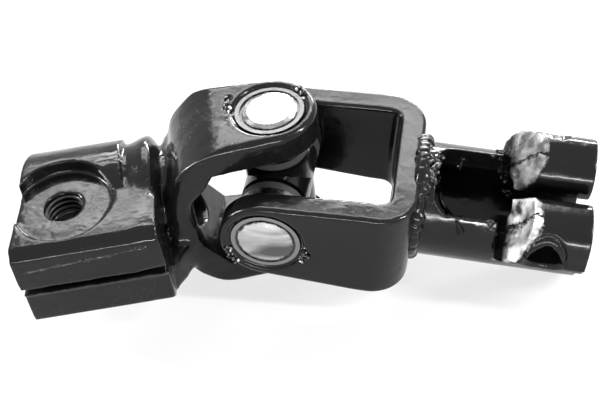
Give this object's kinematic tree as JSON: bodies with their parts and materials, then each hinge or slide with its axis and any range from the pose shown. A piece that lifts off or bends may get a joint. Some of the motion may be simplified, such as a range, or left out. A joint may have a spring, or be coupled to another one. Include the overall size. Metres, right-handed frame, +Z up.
{
  "type": "steering column joint",
  "caption": "Universal joint for a steering column: a forged clamp yoke and a plate fork with a welded clamp sleeve, joined by a cross in capped needle bearings.",
  "frame": {"origin": "middle of the footprint of the joint as it lies, on the floor", "axes": "+X from the forged clamp yoke towards the welded clamp sleeve, +Z up; the pin axis of the forged yoke is nearly upright"},
  "size_m": [0.1332, 0.0558, 0.0442],
  "materials": {
    "paint": "glossy black dipped paint",
    "weld": "painted weld",
    "bearing_steel": "bright ground steel",
    "seal": "matt",
    "pin_plastic": "satin"
  },
  "bodies": {
    "left_yoke_body": {"left_yoke": "paint", "cup_left_top": "bearing_steel", "needles_left_top": "bearing_steel", "seal_left_top": "seal", "cup_left_bottom": "bearing_steel", "needles_left_bottom": "bearing_steel", "seal_left_bottom": "seal"},
    "cross_body": {"cross": "paint", "thrust_left_top": "pin_plastic", "thrust_left_bottom": "pin_plastic", "thrust_right_front": "pin_plastic", "thrust_right_rear": "pin_plastic"},
    "right_fork_body": {"right_fork": "paint", "clamp_sleeve": "paint", "weld_bead": "weld", "cup_right_front": "bearing_steel", "needles_right_front": "bearing_steel", "seal_right_front": "seal", "cup_right_rear": "bearing_steel", "needles_right_rear": "bearing_steel", "seal_right_rear": "seal"}
  },
  "joints": [
    {"name": "left_pin", "type": "hinge", "parent": "left_yoke_body", "child": "cross_body", "pos_m": [-0.00758, 0.00511, 0.02223], "axis": [-0.03, 0.0039, 0.9995], "range_deg": [-14.3, 45.7]},
    {"name": "right_pin", "type": "hinge", "parent": "cross_body", "child": "right_fork_body", "pos_m": [-0.00758, 0.00511, 0.02223], "axis": [-0.1286, -0.9917, 0], "range_deg": [-21.2, 38.8]}
  ]
}
